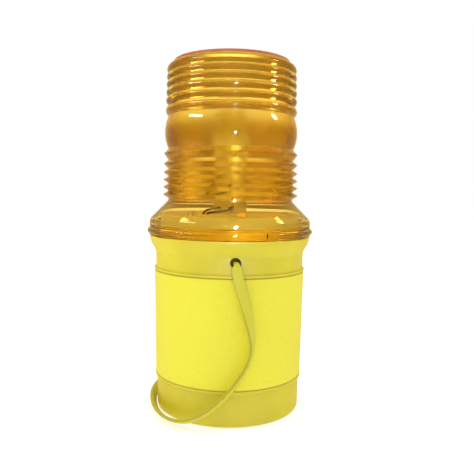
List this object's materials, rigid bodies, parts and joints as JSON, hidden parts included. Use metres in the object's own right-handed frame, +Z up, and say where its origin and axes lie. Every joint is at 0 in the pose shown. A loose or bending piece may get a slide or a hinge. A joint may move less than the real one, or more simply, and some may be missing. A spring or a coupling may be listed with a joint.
{
  "type": "portable road hazard lantern",
  "caption": "Portable all-round warning lantern: cylindrical battery case with reflective sleeve and strap handle, ribbed amber lens on a flared neck.",
  "frame": {"origin": "centre of the case's foot, on the ground", "axes": "+Z up along the lamp axis; -Y is the front, where one end of the strap handle enters the case; the strap hangs on the -X side"},
  "size_m": [0.1188, 0.1234, 0.2464],
  "materials": {
    "case_yellow": "moulded, slightly glossy",
    "sleeve_yellow": "smooth retroreflective sheeting",
    "seal_black": "matt",
    "foam_grey": "matt foam",
    "jacket_blue": "satin printed sheet",
    "cell_zinc": "dull zinc",
    "plastic_black": "satin",
    "spring_steel": "bright wire",
    "inner_cream": "satin moulded",
    "post_buff": "satin moulded",
    "board_white": "white solder resist",
    "contact_brass": "bright",
    "board_green": "solder resist",
    "capacitor_blue": "sleeve",
    "knob_red": "satin",
    "cell_amber": "resin",
    "screw_steel": "zinc plated",
    "led_clear": "clear resin",
    "lead_black": "insulation",
    "lead_red": "insulation",
    "lens_amber": "clear moulded amber"
  },
  "bodies": {
    "case": {"case_shell": "case_yellow", "reflective_sleeve": "sleeve_yellow", "case_gasket": "seal_black", "battery_pad": "foam_grey", "battery_jacket": "jacket_blue", "battery_cells": "cell_zinc", "battery_cover": "plastic_black", "battery_spring_centre": "spring_steel", "battery_spring_corner": "spring_steel"},
    "head": {"deck_plate": "inner_cream", "contact_tray": "inner_cream", "contact_centre": "contact_brass", "contact_ring": "contact_brass", "contact_rivets": "contact_brass", "contact_leads": "contact_brass", "circuit_board": "board_green", "controller_chip": "plastic_black", "capacitor": "capacitor_blue", "switch_body": "plastic_black", "photocell": "cell_amber", "deck_screws": "screw_steel", "lamp_post": "post_buff", "led_board": "board_white", "led_holder": "post_buff", "leds": "led_clear", "led_cap": "post_buff", "lead_black": "lead_black", "lead_red": "lead_red"},
    "switch": {"switch_knob": "knob_red"},
    "lens": {"lens": "lens_amber"},
    "handle": {"handle_strap": "case_yellow", "handle_button_front": "case_yellow", "handle_button_rear": "case_yellow"}
  },
  "joints": [
    {"name": "head_lift", "type": "slide", "parent": "case", "child": "head", "axis": [0, 0, 1], "range_m": [0, 0.06]},
    {"name": "lens_turn", "type": "hinge", "parent": "head", "child": "lens", "pos_m": [0, 0, 0.13], "axis": [0, 0, -1], "range_deg": [0, 28]},
    {"name": "switch_slide", "type": "slide", "parent": "head", "child": "switch", "axis": [0, 1, 0], "range_m": [0, 0.004]},
    {"name": "handle_swing", "type": "hinge", "parent": "case", "child": "handle", "pos_m": [0, 0, 0.109], "axis": [0, 1, 0], "range_deg": [0, 120]}
  ]
}
